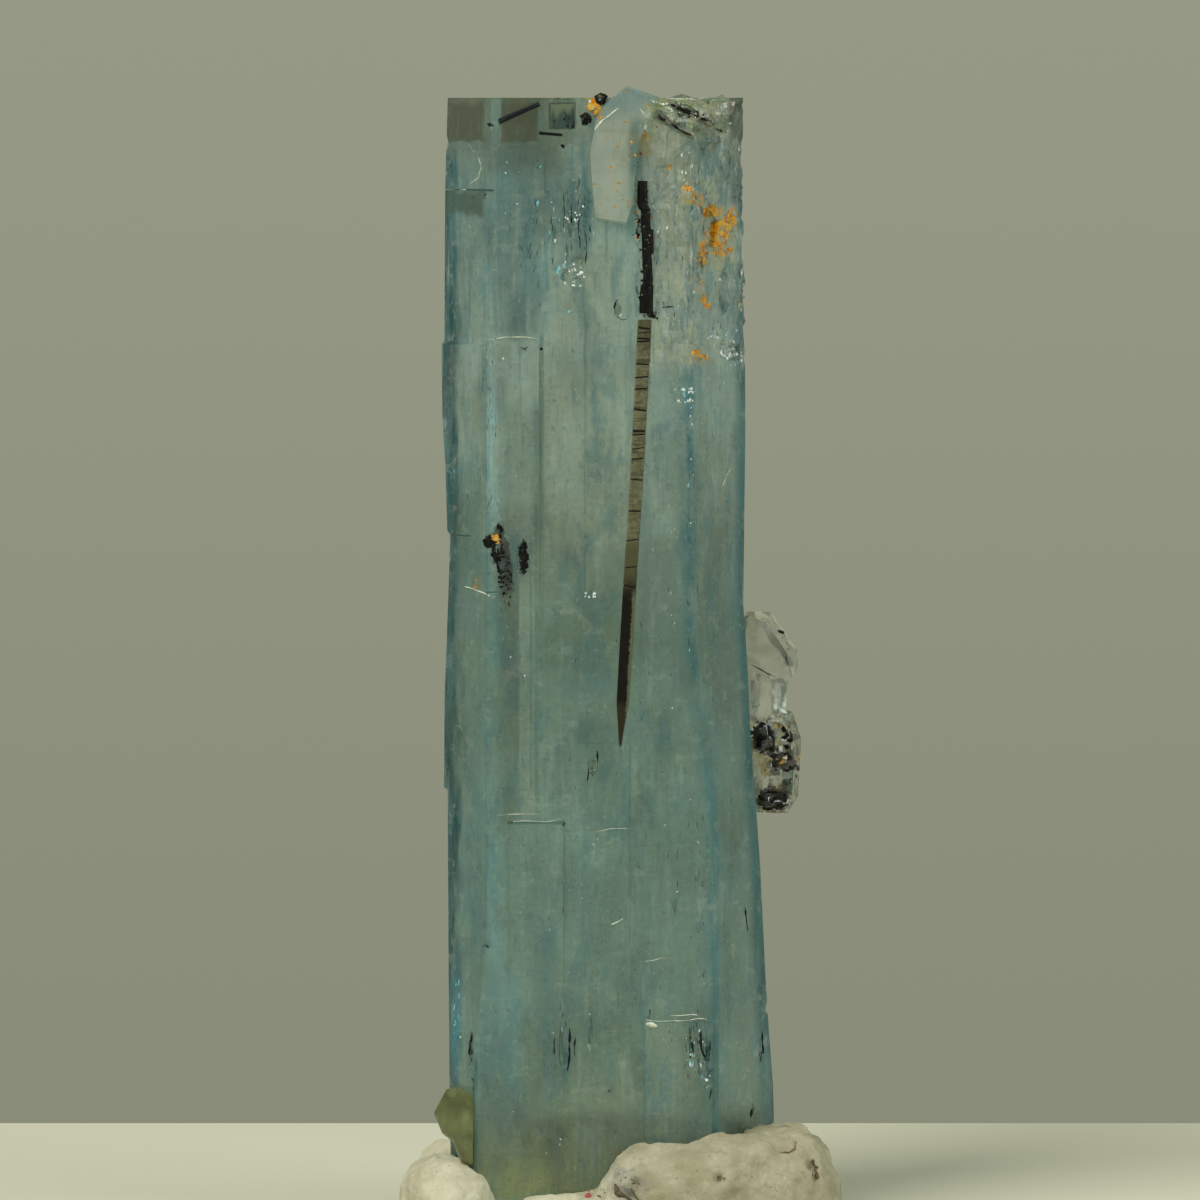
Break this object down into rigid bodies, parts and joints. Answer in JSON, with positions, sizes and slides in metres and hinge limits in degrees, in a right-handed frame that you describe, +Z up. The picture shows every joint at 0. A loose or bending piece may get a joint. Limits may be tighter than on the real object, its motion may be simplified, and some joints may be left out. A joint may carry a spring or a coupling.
{
  "type": "aquamarine with schorl",
  "caption": "Tall flattened six-sided aquamarine prism with black schorl needles, a clear cluster and an olive crystal, standing in putty.",
  "frame": {"origin": "on the surface that the putty rests on, below the middle of the whole piece", "axes": "+Z up along the crystal, -Y towards the front where the broad face with the long needle is, +X to the right"},
  "size_m": [0.0224, 0.0167, 0.0574],
  "materials": {
    "aquamarine": "cloudy, see-through, with fine upright growth lines",
    "schorl": "black to dark brown, satin",
    "clear_crystal": "colourless, glossy",
    "olive_crystal": "olive, see-through",
    "putty": "matte, kneaded, with specks and pits"
  },
  "bodies": {
    "root": {"aquamarine": "aquamarine", "clear_crystal_cluster": "clear_crystal", "mounting_putty": "putty", "olive_crystal": "olive_crystal", "schorl_block_top": "schorl", "schorl_cluster_lower": "schorl", "schorl_cluster_middle": "schorl", "schorl_cluster_upper": "schorl", "schorl_grain_plate": "schorl", "schorl_grain_top": "schorl", "schorl_needle_flake": "schorl", "schorl_needle_flake_low": "schorl", "schorl_needle_long": "schorl", "schorl_needle_top_left": "schorl", "schorl_needle_top_short": "schorl", "schorl_needle_upper": "schorl", "schorl_patch": "schorl", "schorl_tuft": "schorl"}
  },
  "joints": []
}
